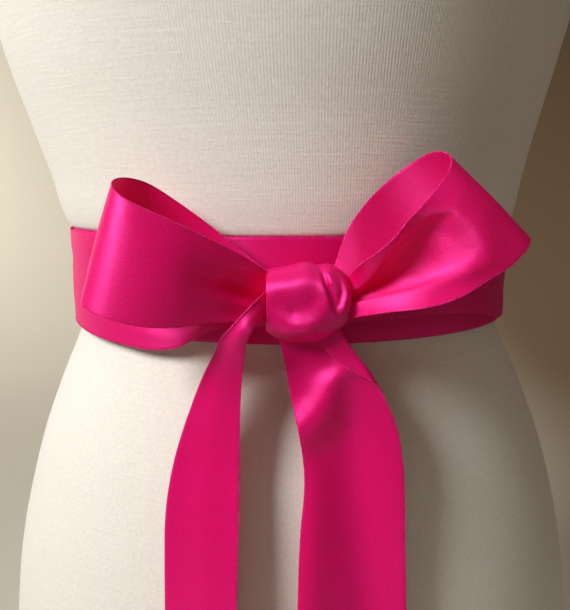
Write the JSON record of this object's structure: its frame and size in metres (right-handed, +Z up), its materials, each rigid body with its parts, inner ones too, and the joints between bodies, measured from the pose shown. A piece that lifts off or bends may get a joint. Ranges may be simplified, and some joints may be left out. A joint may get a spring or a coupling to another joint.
{
  "type": "satin sash tied in a bow on a limbless dress form",
  "caption": "Wide satin ribbon sash wound round a dress form's waist and tied in a front bow with hanging tails, to stand as a display piece.",
  "frame": {"origin": "middle of the dress form's flat base, on the surface that it stands on", "axes": "+Z up, -Y to the front where the bow is, +X to the viewer's right"},
  "size_m": [0.272, 0.2236, 0.705],
  "materials": {
    "satin_ribbon": "satin",
    "jersey_cover": "matte"
  },
  "bodies": {
    "root": {"dress_form": "jersey_cover", "turn_inner": "satin_ribbon", "turn_outer_left": "satin_ribbon", "turn_outer_right": "satin_ribbon", "loop_left": "satin_ribbon", "loop_right": "satin_ribbon", "tail_left": "satin_ribbon", "tail_right": "satin_ribbon", "knot": "satin_ribbon"}
  },
  "joints": []
}
